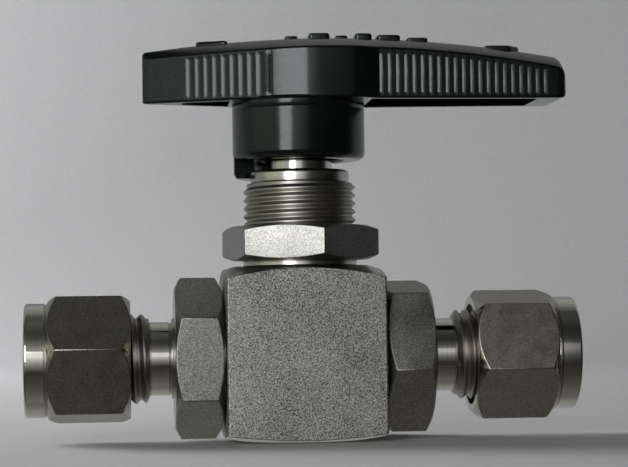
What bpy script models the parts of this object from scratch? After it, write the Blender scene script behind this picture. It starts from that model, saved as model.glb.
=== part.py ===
"""Panel-mount instrument ball valve with a compression tube fitting at each end, as separate solids.

Frame: the origin is the centre of the body's bottom face, +Z runs up the stem, and +X runs along the
flow axis towards the handle's long arm. Constants are in millimetres and degrees; meshes are in metres.
On each port the local Z axis is the flow axis pointing outwards, and heights are distances from the ball.
"""

import math

import bmesh
import bpy

MM = 0.001

# Facets round a full turn.
STEPS = 24
FINE_STEPS = 36

GAP = 0.3  # between pieces that touch

# Body: square bar with the flow axis across it and a bonnet on top.
BODY_WIDTH = 19.0
BODY_HEIGHT = 21.0
BODY_BLANK_RADIUS = 13.6  # reaches just past the square's corners
FLOW_Z = 10.0
TOP_CONE_START = 8.5
TOP_CONE_SLOPE = 17.0
BOTTOM_CONE_START = 8.0
BOTTOM_CONE_SLOPE = 9.4
NECK_RADIUS = 6.95
NECK_TOP = 22.0
BONNET_RADIUS = 6.85
BONNET_TOP = 31.1
COLLAR_RADIUS = 6.1
COLLAR_TOP = 32.7
COLLAR_ROUND = 0.4

# Ball and what it turns in.
BALL_RADIUS = 4.7
FLOW_RADIUS = 2.4
CHAMBER_RADIUS = 5.3
CHAMBER_HALF = 6.6
SEAT_RADIUS = 5.0
SEAT_FACE = 2.5
SEAT_BACK = 5.6
SEAT_SPRING_INNER = 2.9
SEAT_SPRING_OUTER = 4.9
SLOT_WIDTH = 1.9
SLOT_FLOOR = 3.1  # above the ball's centre
TANG_THICKNESS = 1.4
TANG_WIDTH = 4.4  # turns through a quarter between the seats
TANG_BOTTOM = 13.4

# Stem and the packing stack, by height above the body's bottom.
STEM_RADIUS = 2.4
STEM_TOP = 44.4
STEM_SHOULDER_RADIUS = 3.8
STEM_SHOULDER = (15.35, 16.35)
STEM_FLAT_Y = 1.7
STEM_FLAT_BOTTOM = 36.9
SHOULDER_BORE_RADIUS = 4.1
SHOULDER_BORE_TOP = 17.35
STEM_BORE_RADIUS = STEM_RADIUS + GAP
THRUST_WASHER = (16.65, 17.05)
PACKING_BORE_RADIUS = 4.35
PACKING_FLOOR = 21.0
PACKING_RING_RADIUS = 4.05
LOWER_PACKING = (21.3, 23.3)
UPPER_PACKING = (23.6, 25.6)
PACKING_GLAND = (25.9, 27.1)
DISC_SPRING_BASES = {"lower_disc_spring": 27.4, "upper_disc_spring": 28.25}
DISC_SPRING_THICKNESS = 0.3
DISC_SPRING_CONE = 0.25
PACKING_BOLT_RADIUS = 4.05
PACKING_BOLT_BOTTOM = 29.1
PACKING_BOLT_HEX_BOTTOM = 34.6
PACKING_BOLT_TOP = 36.4
PACKING_BOLT_HEX = 7.0

# Panel nut on the bonnet thread.
PANEL_NUT_HEX = 17.0
PANEL_NUT_BOTTOM = 21.8
PANEL_NUT_TOP = 25.9
PANEL_NUT_BORE_RADIUS = 7.2
PANEL_NUT_TURN = 12.7

# End connectors, by distance from the ball along the flow axis.
SPIGOT_RADIUS = 6.5
SPIGOT_BORE_RADIUS = SPIGOT_RADIUS + GAP
SPIGOT_NOSE = 6.9
SEAL_GROOVE = (8.1, 5.3)  # start, floor radius
SEAL_RING_RADIUS = 6.1
SEAL_CORD_RADIUS = 0.5
SEAL_PLACE = 8.8
CONNECTOR_HEX = 17.0
CONNECTOR_HEX_SPAN = (9.8, 15.5)
STUB_RADIUS = 4.45
STUB_END = 18.6
MALE_THREAD_RADIUS = 5.45
MALE_END = 28.3
MALE_CHAMFER = 0.5
SOCKET_RADIUS = 3.25
SOCKET_FLOOR = 18.3
CONE_START = 25.2
CONE_SLOPE = 12.0

# Tube nuts and ferrules.
TUBE_NUT_HEX = 14.29
TUBE_NUT_SPAN = (20.8, 33.5)
TUBE_NUT_HEX_END = 30.75
TUBE_NUT_COLLAR_RADIUS = 6.9
TUBE_NUT_COLLAR_CHAMFER = 0.4
FEMALE_THREAD_RADIUS = MALE_THREAD_RADIUS + GAP
FEMALE_THREAD_END = 29.0
FERRULE_CHAMBER_RADIUS = 4.75
FERRULE_CHAMBER_END = 31.9
FERRULE_SEAT_SLOPE = 22.0
TUBE_EXIT_RADIUS = 3.3
FERRULE_BORE_RADIUS = 3.225
FRONT_FERRULE_CONE = [(3.4, 27.0), (3.62, 28.0), (4.15, 29.0), (4.15, 30.2), (3.75, 30.2), (3.225, 29.6)]
BACK_FERRULE_NOSE = [(3.45, 30.35), (3.75, 30.65), (4.4, 30.65), (4.4, 31.4), (3.9, 31.75), (3.225, 31.75)]
BACK_FERRULE_START = 30.1

# Where a hexagon's corner points, as an angle up from the front, and how far each corner is chamfered.
CORNER_ANGLES = {
    "left_end_connector": 30.0,
    "right_end_connector": -9.5,
    "left_tube_nut": 9.6,
    "right_tube_nut": -12.0,
}
HEX_CHAMFER_SLOPE = 30.0
HEX_BLANK_OVERRUN = 0.2
HEX_FACE_INSET = 0.1

# Handle: lever shell over a round hub, with a tab that meets the stops.
HUB_RADIUS = 8.1
HUB_BOTTOM = 33.9
HUB_ROUND = 0.8
HUB_TOP = 41.4
HUB_CAVITY_RADIUS = 5.3
HUB_CAVITY_TOP = 36.9
RIM_Z = 41.0
POINTER_X = -19.0
ARM_TIP_X = 32.4
TIP_ROUND = 1.0
SIDE_LINE = [  # x, growth of the half-width per millimetre of x
    (-4.0, 0.40),
    (-1.6, 0.31),
    (0.4, 0.22),
    (2.0, -0.04),
    (6.0, -0.08),
    (7.4, -0.45),
    (9.3, -0.45),
]
ARM_TAPER = 0.045
POINTER_OVERRUN = 0.8
EDGE_ROUND = 0.4
CROWN_PEAK = (4.0, 48.9, 0.0031, 0.0031)  # x, height, fall per square millimetre to its left and right
WALL_PEAK = (6.0, 47.3, 0.0010, 0.0037)
SHELL_WALL = 1.1
SHELL_WEB = 1.2
SHELL_CEILING = 45.2
WEB_BOTTOM = 42.2
LONG_CAVITY = (8.5, 28.9)
SHORT_CAVITY = (-14.2, -8.5)
ARROW_HEIGHT = 0.35
DASH_WIDTH = 3.0
DASHES = [  # first x, length, height
    (-1.6, 1.6, 0.3),
    (1.3, 2.6, 0.6),
    (4.6, 1.5, 0.3),
    (7.0, 2.1, 0.6),
    (9.7, 2.9, 0.5),
    (13.4, 2.6, 0.35),
]
POINTER_MARK = [(-13.2, 0.0), (-8.6, -1.7), (-8.6, 1.7)]
ARM_MARK = [(23.0, -1.9), (26.0, -1.9), (27.6, 0.0), (26.0, 1.9), (23.0, 1.9)]
STOP_TAB_RADII = (5.5, 8.0)
STOP_TAB_BOTTOM = 31.8
STOP_TAB_ANGLES = (125.0, 186.5)
STOP_POCKET_RADIUS = 5.1
STOP_POCKET_FLOOR = 31.3
STOP_POCKET_ANGLES = (31.5, 190.0)

# Insert and set screw in the hub, the screw at the back.
INSERT_RADIUS = 4.6
INSERT_SPAN = (37.3, 44.8)
INSERT_FLAT_Y = 2.0
SCREW_Z = 39.2
SCREW_RADIUS = 1.5
SCREW_SPAN = (2.0, 6.9)
SCREW_SOCKET_HEX = 1.5
SCREW_SOCKET_DEPTH = 1.3
SCREW_HOLE_RADIUS = SCREW_RADIUS + GAP

MATERIALS = {
    "machined_steel": ((0.44, 0.43, 0.40), 0.33, 1.0),
    "polished_steel": ((0.60, 0.59, 0.56), 0.18, 1.0),
    "blasted_steel": ((0.36, 0.36, 0.34), 0.48, 1.0),
    "spring_steel": ((0.50, 0.49, 0.46), 0.25, 1.0),
    "black_nylon": ((0.012, 0.014, 0.014), 0.22, 0.0),
    "white_ptfe": ((0.80, 0.79, 0.75), 0.55, 0.0),
    "black_elastomer": ((0.02, 0.02, 0.02), 0.60, 0.0),
    "brass": ((0.60, 0.44, 0.18), 0.35, 1.0),
}


def slope(degrees):
    return math.tan(math.radians(degrees))


def material(name):
    made = bpy.data.materials.get(name)
    if made is None:
        colour, roughness, metallic = MATERIALS[name]
        made = bpy.data.materials.new(name)
        made.use_nodes = True
        shader = made.node_tree.nodes["Principled BSDF"]
        shader.inputs["Base Color"].default_value = (*colour, 1.0)
        shader.inputs["Roughness"].default_value = roughness
        shader.inputs["Metallic"].default_value = metallic
    return made


def object_of(name, bm, finish=None, parent=None):
    """One object from a bmesh in millimetres, with its faces pointing out."""
    bmesh.ops.recalc_face_normals(bm, faces=bm.faces)
    bmesh.ops.scale(bm, vec=(MM, MM, MM), verts=bm.verts)
    mesh = bpy.data.meshes.new(name)
    bm.to_mesh(mesh)
    bm.free()
    mesh.shade_smooth()
    mesh.set_sharp_from_angle(angle=math.radians(25.0))
    obj = bpy.data.objects.new(name, mesh)
    if finish:
        mesh.materials.append(material(finish))
    obj.parent = parent
    bpy.context.scene.collection.objects.link(obj)
    return obj


def turned(name, profile, finish=None, parent=None, steps=STEPS):
    """Solid turned about the local Z axis from a closed outline of (radius, height) points."""
    bm = bmesh.new()
    rows = []
    for radius, height in profile:
        if radius == 0.0:
            rows.append([bm.verts.new((0.0, 0.0, height))] * steps)
            continue
        angles = [2.0 * math.pi * step / steps for step in range(steps)]
        rows.append([bm.verts.new((radius * math.cos(a), radius * math.sin(a), height)) for a in angles])
    for row, following in zip(rows, rows[1:] + rows[:1]):
        for step in range(steps):
            after = (step + 1) % steps
            corners = dict.fromkeys((row[step], row[after], following[after], following[step]))
            if len(corners) > 2:
                bm.faces.new(corners)
    return object_of(name, bm, finish, parent)


def prism(name, outline, bottom, top, finish=None, parent=None):
    """Upright prism over a closed outline of (x, y) points."""
    bm = bmesh.new()
    low = [bm.verts.new((x, y, bottom)) for x, y in outline]
    high = [bm.verts.new((x, y, top)) for x, y in outline]
    bm.faces.new(low)
    bm.faces.new(high)
    for index in range(len(outline)):
        after = (index + 1) % len(outline)
        bm.faces.new((low[index], low[after], high[after], high[index]))
    return object_of(name, bm, finish, parent)


def loft(name, sections, finish=None, parent=None):
    """Closed skin through sections of equal point counts, capped at both ends."""
    bm = bmesh.new()
    rows = [[bm.verts.new(point) for point in section] for section in sections]
    bm.faces.new(rows[0])
    bm.faces.new(rows[-1])
    for row, following in zip(rows, rows[1:]):
        for index in range(len(row)):
            after = (index + 1) % len(row)
            bm.faces.new((row[index], row[after], following[after], following[index]))
    return object_of(name, bm, finish, parent)


def combine(target, tool, operation):
    """Boolean of the target with a tool that stays out of the render."""
    tool.hide_render = True
    tool.display_type = "WIRE"
    modifier = target.modifiers.new(tool.name, "BOOLEAN")
    modifier.operation = operation
    modifier.object = tool
    modifier.solver = "EXACT"


def cut(target, tool):
    combine(target, tool, "DIFFERENCE")


def join(target, tool):
    combine(target, tool, "UNION")


def trim(target, tool):
    combine(target, tool, "INTERSECT")


def hexagon(across_flats, corner_angle):
    radius = across_flats / math.sqrt(3.0)
    angles = [math.radians(corner_angle + 60.0 * index) for index in range(6)]
    return [(radius * math.cos(a), radius * math.sin(a)) for a in angles]


def square(width, depth=None):
    x, y = width / 2.0, (depth or width) / 2.0
    return [(-x, -y), (x, -y), (x, y), (-x, y)]


def sector(inner, outer, first, last, steps=8):
    """Outline of a stretch of ring between two azimuths."""
    angles = [math.radians(first + (last - first) * step / steps) for step in range(steps + 1)]
    out = [(outer * math.cos(a), outer * math.sin(a)) for a in angles]
    back = [(inner * math.cos(a), inner * math.sin(a)) for a in reversed(angles)]
    return out + back


def ring_outline(inner, outer, bottom, top):
    return [(inner, bottom), (outer, bottom), (outer, top), (inner, top)]


def hex_ends(across_flats, bottom, top):
    """Outline points of a hexagon's round blank, its end faces chamfered back to the flats."""
    corner = across_flats / math.sqrt(3.0) + HEX_BLANK_OVERRUN
    face = across_flats / 2.0 - HEX_FACE_INSET
    drop = (corner - face) * slope(HEX_CHAMFER_SLOPE)
    return [(face, bottom), (corner, bottom + drop), (corner, top - drop), (face, top)]


def corner_on_port(name, side):
    """Local angle of a hexagon corner whose direction is given as an angle up from the front."""
    angle = CORNER_ANGLES[name]
    return angle - 90.0 if side == "left" else 270.0 - angle


def empty_at(name, height, rotation=(0.0, 0.0, 0.0)):
    empty = bpy.data.objects.new(name, None)
    empty.empty_display_size = 0.005
    empty.location = (0.0, 0.0, height * MM)
    empty.rotation_euler = rotation
    bpy.context.scene.collection.objects.link(empty)
    return empty


def build_body(ball_axis):
    far = BODY_BLANK_RADIUS
    top_drop = (far - TOP_CONE_START) * slope(TOP_CONE_SLOPE)
    bottom_rise = (far - BOTTOM_CONE_START) * slope(BOTTOM_CONE_SLOPE)
    body = turned(
        "body",
        [
            (0.0, 0.0),
            (BOTTOM_CONE_START, 0.0),
            (far, bottom_rise),
            (far, BODY_HEIGHT - top_drop),
            (TOP_CONE_START, BODY_HEIGHT),
            (NECK_RADIUS, BODY_HEIGHT),
            (NECK_RADIUS, NECK_TOP),
            (BONNET_RADIUS, NECK_TOP),
            (BONNET_RADIUS, BONNET_TOP),
            (COLLAR_RADIUS, BONNET_TOP),
            (COLLAR_RADIUS, COLLAR_TOP - COLLAR_ROUND),
            (COLLAR_RADIUS - COLLAR_ROUND, COLLAR_TOP),
            (0.0, COLLAR_TOP),
        ],
        "blasted_steel",
        steps=FINE_STEPS,
    )
    trim(body, prism("tool_body_square", square(BODY_WIDTH), -1.0, COLLAR_TOP + 1.0))
    open_end = BODY_WIDTH / 2.0 + 1.0
    flow_bore = turned(
        "tool_flow_bore",
        [
            (0.0, -open_end),
            (SPIGOT_BORE_RADIUS, -open_end),
            (SPIGOT_BORE_RADIUS, -CHAMBER_HALF),
            (CHAMBER_RADIUS, -CHAMBER_HALF),
            (CHAMBER_RADIUS, CHAMBER_HALF),
            (SPIGOT_BORE_RADIUS, CHAMBER_HALF),
            (SPIGOT_BORE_RADIUS, open_end),
            (0.0, open_end),
        ],
        parent=ball_axis,
    )
    flow_bore.rotation_euler = (0.0, math.radians(90.0), 0.0)
    cut(body, flow_bore)
    stem_bore = turned(
        "tool_stem_bore",
        [
            (0.0, FLOW_Z),
            (SHOULDER_BORE_RADIUS, FLOW_Z),
            (SHOULDER_BORE_RADIUS, SHOULDER_BORE_TOP),
            (STEM_BORE_RADIUS, SHOULDER_BORE_TOP),
            (STEM_BORE_RADIUS, PACKING_FLOOR),
            (PACKING_BORE_RADIUS, PACKING_FLOOR),
            (PACKING_BORE_RADIUS, COLLAR_TOP + 1.0),
            (0.0, COLLAR_TOP + 1.0),
        ],
    )
    cut(body, stem_bore)
    outline = sector(STOP_POCKET_RADIUS, COLLAR_RADIUS + 1.0, *STOP_POCKET_ANGLES, steps=16)
    cut(body, prism("tool_stop_pocket", outline, STOP_POCKET_FLOOR, COLLAR_TOP + 1.0))


def build_ball(ball_axis):
    """The bore runs along X, and the drive slot across it in the top."""
    half = math.sqrt(BALL_RADIUS**2 - FLOW_RADIUS**2)
    lean = math.atan2(FLOW_RADIUS, half)
    arc_steps = 10
    angles = [lean + (math.pi - 2.0 * lean) * step / arc_steps for step in range(arc_steps + 1)]
    profile = [(BALL_RADIUS * math.sin(a), -BALL_RADIUS * math.cos(a)) for a in angles]
    ball = turned("ball", profile, "polished_steel", ball_axis)
    ball.rotation_euler = (0.0, math.radians(90.0), 0.0)
    slot_outline = square(SLOT_WIDTH, 3.0 * BALL_RADIUS)
    cut(ball, prism("tool_ball_slot", slot_outline, SLOT_FLOOR, 2.0 * BALL_RADIUS, parent=ball_axis))


def build_stem():
    low, high = STEM_SHOULDER
    stem = turned(
        "stem",
        [
            (0.0, low),
            (STEM_SHOULDER_RADIUS, low),
            (STEM_SHOULDER_RADIUS, high),
            (STEM_RADIUS, high),
            (STEM_RADIUS, STEM_TOP),
            (0.0, STEM_TOP),
        ],
        "polished_steel",
    )
    tang = square(TANG_THICKNESS, TANG_WIDTH)
    join(stem, prism("tool_stem_tang", tang, TANG_BOTTOM, (low + high) / 2.0))
    flat = [(-4.0, STEM_FLAT_Y), (4.0, STEM_FLAT_Y), (4.0, 4.0), (-4.0, 4.0)]
    cut(stem, prism("tool_stem_flat", flat, STEM_FLAT_BOTTOM, STEM_TOP + 1.0))


def build_packing():
    ring = (STEM_BORE_RADIUS, PACKING_RING_RADIUS)
    washer = ring_outline(STEM_BORE_RADIUS, STEM_SHOULDER_RADIUS, *THRUST_WASHER)
    turned("stem_thrust_washer", washer, "white_ptfe")
    turned("lower_packing", ring_outline(*ring, *LOWER_PACKING), "white_ptfe")
    turned("upper_packing", ring_outline(*ring, *UPPER_PACKING), "white_ptfe")
    turned("packing_gland", ring_outline(*ring, *PACKING_GLAND), "machined_steel")
    for name, base in DISC_SPRING_BASES.items():
        coned_disc(name, *ring, base)
    bolt = turned(
        "packing_bolt",
        ring_outline(STEM_BORE_RADIUS, PACKING_BOLT_RADIUS, PACKING_BOLT_BOTTOM, PACKING_BOLT_TOP),
        "polished_steel",
        steps=FINE_STEPS,
    )
    around = square(4.0 * PACKING_BOLT_RADIUS)
    blank = prism("tool_packing_bolt_blank", around, PACKING_BOLT_HEX_BOTTOM, PACKING_BOLT_TOP + 1.0)
    cut(blank, prism("tool_packing_bolt_hex", hexagon(PACKING_BOLT_HEX, 30.0), 0.0, PACKING_BOLT_TOP + 2.0))
    cut(bolt, blank)


def coned_disc(name, inner, outer, base, parent=None):
    """Belleville spring, its inner edge raised above its outer edge."""
    profile = [
        (outer, base),
        (outer, base + DISC_SPRING_THICKNESS),
        (inner, base + DISC_SPRING_THICKNESS + DISC_SPRING_CONE),
        (inner, base + DISC_SPRING_CONE),
    ]
    turned(name, profile, "spring_steel", parent)


def build_panel_nut():
    hex_part = hex_ends(PANEL_NUT_HEX, PANEL_NUT_BOTTOM, PANEL_NUT_TOP)
    bore = PANEL_NUT_BORE_RADIUS
    profile = [(bore, PANEL_NUT_BOTTOM), *hex_part, (bore, PANEL_NUT_TOP)]
    nut = turned("panel_nut", profile, "machined_steel", steps=FINE_STEPS)
    outline = hexagon(PANEL_NUT_HEX, PANEL_NUT_TURN - 90.0)
    trim(nut, prism("tool_panel_nut_hex", outline, PANEL_NUT_BOTTOM - 1.0, PANEL_NUT_TOP + 1.0))


def seat_profile():
    """Ring with a hollow face that stays one gap clear of the ball."""
    hollow = BALL_RADIUS + GAP
    start = math.acos(FLOW_RADIUS / hollow)
    end = math.asin(SEAT_FACE / hollow)
    arc = [start + (end - start) * step / 5 for step in range(6)]
    curve = [(hollow * math.cos(a), hollow * math.sin(a)) for a in arc]
    return [*curve, (SEAT_RADIUS, SEAT_FACE), (SEAT_RADIUS, SEAT_BACK), (FLOW_RADIUS, SEAT_BACK)]


def seal_profile():
    angles = [math.pi * step / 4 for step in range(8)]
    return [
        (SEAL_RING_RADIUS + SEAL_CORD_RADIUS * math.cos(a), SEAL_PLACE + SEAL_CORD_RADIUS * math.sin(a))
        for a in angles
    ]


def build_connector(side, port):
    groove, floor = SEAL_GROOVE
    mouth = SOCKET_RADIUS + (MALE_END - CONE_START) * slope(CONE_SLOPE)
    name = f"{side}_end_connector"
    connector = turned(
        name,
        [
            (FLOW_RADIUS, SPIGOT_NOSE),
            (SPIGOT_RADIUS, SPIGOT_NOSE),
            (SPIGOT_RADIUS, groove),
            (floor, groove),
            (floor, CONNECTOR_HEX_SPAN[0]),
            *hex_ends(CONNECTOR_HEX, *CONNECTOR_HEX_SPAN),
            (STUB_RADIUS, CONNECTOR_HEX_SPAN[1]),
            (STUB_RADIUS, STUB_END),
            (MALE_THREAD_RADIUS, STUB_END + MALE_THREAD_RADIUS - STUB_RADIUS),
            (MALE_THREAD_RADIUS, MALE_END - MALE_CHAMFER),
            (MALE_THREAD_RADIUS - MALE_CHAMFER, MALE_END),
            (mouth, MALE_END),
            (SOCKET_RADIUS, CONE_START),
            (SOCKET_RADIUS, SOCKET_FLOOR),
            (FLOW_RADIUS, SOCKET_FLOOR),
        ],
        "machined_steel",
        port,
        FINE_STEPS,
    )
    outline = hexagon(CONNECTOR_HEX, corner_on_port(name, side))
    trim(connector, prism(f"tool_{side}_connector_hex", outline, 0.0, MALE_END + 1.0, parent=port))


def build_tube_nut(side, port):
    bottom, top = TUBE_NUT_SPAN
    hex_part = hex_ends(TUBE_NUT_HEX, bottom, TUBE_NUT_HEX_END)
    collar = TUBE_NUT_COLLAR_RADIUS
    chamfer = TUBE_NUT_COLLAR_CHAMFER
    seat_depth = (FERRULE_CHAMBER_RADIUS - TUBE_EXIT_RADIUS) * slope(FERRULE_SEAT_SLOPE)
    name = f"{side}_tube_nut"
    nut = turned(
        name,
        [
            (FEMALE_THREAD_RADIUS, bottom),
            *hex_part,
            (collar, TUBE_NUT_HEX_END),
            (collar, top - chamfer),
            (collar - chamfer, top),
            (TUBE_EXIT_RADIUS, top),
            (TUBE_EXIT_RADIUS, FERRULE_CHAMBER_END + seat_depth),
            (FERRULE_CHAMBER_RADIUS, FERRULE_CHAMBER_END),
            (FERRULE_CHAMBER_RADIUS, FEMALE_THREAD_END),
            (FEMALE_THREAD_RADIUS, FEMALE_THREAD_END),
        ],
        "machined_steel",
        port,
        FINE_STEPS,
    )
    outline = hexagon(TUBE_NUT_HEX, corner_on_port(name, side))
    trim(nut, prism(f"tool_{side}_nut_hex", outline, bottom - 1.0, top + 1.0, parent=port))


def build_ferrules(side, port):
    front = [(FERRULE_BORE_RADIUS, FRONT_FERRULE_CONE[0][1]), *FRONT_FERRULE_CONE]
    back = [(FERRULE_BORE_RADIUS, BACK_FERRULE_START), *BACK_FERRULE_NOSE]
    turned(f"{side}_front_ferrule", front, "machined_steel", port)
    turned(f"{side}_back_ferrule", back, "machined_steel", port)


def build_port(side, port):
    turned(f"{side}_seat", seat_profile(), "white_ptfe", port)
    coned_disc(f"{side}_seat_spring", SEAT_SPRING_INNER, SEAT_SPRING_OUTER, SEAT_BACK + GAP, parent=port)
    turned(f"{side}_body_seal", seal_profile(), "black_elastomer", port)
    build_connector(side, port)
    build_tube_nut(side, port)
    build_ferrules(side, port)


def half_width(x):
    """Half the handle's width at a distance x from the stem: pointer, round middle or long arm."""
    first, growth = SIDE_LINE[0]
    if x < first:
        return growth * (x - POINTER_X + POINTER_OVERRUN)
    width = growth * (first - POINTER_X + POINTER_OVERRUN)
    for (start, growth), (end, next_growth) in zip(SIDE_LINE, SIDE_LINE[1:]):
        run = max(0.0, min(x, end) - start)
        width += run * (growth + 0.5 * (next_growth - growth) * run / (end - start))
    return width - ARM_TAPER * max(0.0, x - SIDE_LINE[-1][0])


def hill(x, peak):
    middle, height, left_fall, right_fall = peak
    fall = left_fall if x < middle else right_fall
    return height - fall * (x - middle) ** 2


def handle_section(x, width):
    """Cross-section of the lever at x: straight sides, rounded top edges and an arched crown."""
    edge = hill(x, WALL_PEAK)
    crown = hill(x, CROWN_PEAK)
    edge_round = min(EDGE_ROUND, 0.6 * width)
    flat = width - edge_round
    half = [(width, RIM_Z), (width, edge - edge_round), (width - 0.3 * edge_round, edge - 0.3 * edge_round)]
    for share in (1.0, 0.67, 0.33):
        half.append((flat * share, edge + (crown - edge) * (1.0 - share**2)))
    other = [(-y, z) for y, z in reversed(half)]
    return [(x, y, z) for y, z in [*half, (0.0, crown), *other]]


def handle_sections():
    stations = [POINTER_X + 0.6, -17.0, -14.0, -11.0, -7.5]
    stations += [x for x, _ in SIDE_LINE]
    stations += [15.0, 20.5, 26.0, ARM_TIP_X - TIP_ROUND]
    sections = [handle_section(POINTER_X, half_width(POINTER_X) * 0.5)]
    sections += [handle_section(x, half_width(x)) for x in stations]
    tip = half_width(ARM_TIP_X)
    sections.append(handle_section(ARM_TIP_X - 0.3 * TIP_ROUND, tip - 0.3 * TIP_ROUND))
    sections.append(handle_section(ARM_TIP_X, tip - TIP_ROUND))
    return sections


def arm_cavity(name, span, side):
    """Hollow on one side of the arm's middle web, open below."""
    first, last = span
    steps = 4
    along = [first + (last - first) * step / steps for step in range(steps + 1)]
    outer = [(x, side * (half_width(x) - SHELL_WALL)) for x in along]
    inner = [(last, side * SHELL_WEB / 2.0), (first, side * SHELL_WEB / 2.0)]
    return prism(name, outer + inner, HUB_CAVITY_TOP, SHELL_CEILING)


def web_recess(name, span):
    """Trough that keeps the web's lower edge above the rim."""
    first, last = span
    half = SHELL_WEB / 2.0 + 0.1
    outline = [(first, -half), (last, -half), (last, half), (first, half)]
    return prism(name, outline, HUB_CAVITY_TOP, WEB_BOTTOM)


def raised_marks():
    """Plain marks standing on the crown: an arrow on each arm and a row of dashes between them."""
    marks = [(POINTER_MARK, ARROW_HEIGHT), (ARM_MARK, ARROW_HEIGHT)]
    for first, length, height in DASHES:
        middle = first + length / 2.0
        marks.append(([(x + middle, y) for x, y in square(length, DASH_WIDTH)], height))
    for index, (outline, height) in enumerate(marks):
        low_x = min(x for x, _ in outline)
        high_x = max(x for x, _ in outline)
        top = hill((low_x + high_x) / 2.0, CROWN_PEAK) + height
        yield prism(f"tool_mark_{index}", outline, INSERT_SPAN[1] + 1.0, top)


def insert_outline(radius, flat_y):
    """Circle cut off by a chord on its +Y side."""
    start = math.asin(flat_y / radius)
    sweep = math.pi + 2.0 * start
    count = 20
    angles = [math.pi - start + sweep * step / count for step in range(count + 1)]
    return [(radius * math.cos(a), radius * math.sin(a)) for a in angles]


def across_hub(name, radius, start, end):
    """Round tool along +Y at the set screw's height."""
    tool = turned(name, [(0.0, start), (radius, start), (radius, end), (0.0, end)])
    tool.location = (0.0, 0.0, SCREW_Z * MM)
    tool.rotation_euler = (math.radians(-90.0), 0.0, 0.0)
    return tool


def build_handle():
    handle = loft("handle", handle_sections(), "black_nylon")
    hub = turned(
        "tool_hub",
        [
            (0.0, HUB_BOTTOM),
            (HUB_RADIUS - HUB_ROUND, HUB_BOTTOM),
            (HUB_RADIUS - 0.3 * HUB_ROUND, HUB_BOTTOM + 0.3 * HUB_ROUND),
            (HUB_RADIUS, HUB_BOTTOM + HUB_ROUND),
            (HUB_RADIUS, HUB_TOP - HUB_ROUND),
            (HUB_RADIUS - HUB_ROUND, HUB_TOP),
            (0.0, HUB_TOP),
        ],
        steps=FINE_STEPS,
    )
    join(handle, hub)
    tab_outline = sector(*STOP_TAB_RADII, *STOP_TAB_ANGLES)
    join(handle, prism("tool_stop_tab", tab_outline, STOP_TAB_BOTTOM, HUB_BOTTOM + 1.5))
    hollow = turned(
        "tool_hub_hollow",
        [
            (0.0, HUB_BOTTOM - 1.0),
            (HUB_CAVITY_RADIUS, HUB_BOTTOM - 1.0),
            (HUB_CAVITY_RADIUS, HUB_CAVITY_TOP),
            (INSERT_RADIUS + GAP, HUB_CAVITY_TOP),
            (INSERT_RADIUS + GAP, INSERT_SPAN[1] + GAP),
            (0.0, INSERT_SPAN[1] + GAP),
        ],
    )
    cut(handle, hollow)
    cut(handle, across_hub("tool_screw_hole", SCREW_HOLE_RADIUS, INSERT_RADIUS - 1.0, HUB_RADIUS + 1.0))
    for mark in raised_marks():
        join(handle, mark)
    for label, span in (("long", LONG_CAVITY), ("short", SHORT_CAVITY)):
        for place, side in (("front", -1.0), ("back", 1.0)):
            cut(handle, arm_cavity(f"tool_{label}_{place}_cavity", span, side))
        cut(handle, web_recess(f"tool_{label}_web_recess", span))


def build_insert_and_screw():
    bottom, top = INSERT_SPAN
    insert = turned("handle_insert", ring_outline(0.0, INSERT_RADIUS, bottom, top), "brass")
    bore = insert_outline(STEM_BORE_RADIUS, INSERT_FLAT_Y)
    cut(insert, prism("tool_insert_bore", bore, bottom - 1.0, top + 1.0))
    hole_start, hole_end = STEM_FLAT_Y - 1.0, INSERT_RADIUS + 1.0
    cut(insert, across_hub("tool_insert_screw_hole", SCREW_HOLE_RADIUS, hole_start, hole_end))
    screw = across_hub("handle_set_screw", SCREW_RADIUS, *SCREW_SPAN)
    screw.data.materials.append(material("spring_steel"))
    socket = prism(
        "tool_screw_socket",
        hexagon(SCREW_SOCKET_HEX, 0.0),
        SCREW_SPAN[1] - SCREW_SOCKET_DEPTH,
        SCREW_SPAN[1] + 1.0,
        parent=screw,
    )
    cut(screw, socket)


def main():
    for obj in list(bpy.data.objects):
        bpy.data.objects.remove(obj, do_unlink=True)
    ball_axis = empty_at("ball_axis", FLOW_Z)
    build_body(ball_axis)
    build_ball(ball_axis)
    build_packing()
    build_panel_nut()
    for side, turn in (("left", -90.0), ("right", 90.0)):
        build_port(side, empty_at(f"{side}_port", FLOW_Z, (0.0, math.radians(turn), 0.0)))
    build_stem()
    build_handle()
    build_insert_and_screw()


main()
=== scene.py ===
"""Looks of the panel-mount ball valve: finished pieces, materials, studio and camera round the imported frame.

Lengths are in millimetres until a mesh is finished. Each turned piece is made about its own Z axis. On a
port that axis is the flow axis pointing outwards, and heights are distances from the ball.
"""

from dataclasses import dataclass
from math import acos, asin, atan, atan2, ceil, cos, pi, radians, sin, sqrt, tan

import bmesh
import bpy
from mathutils import Matrix, Vector

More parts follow.
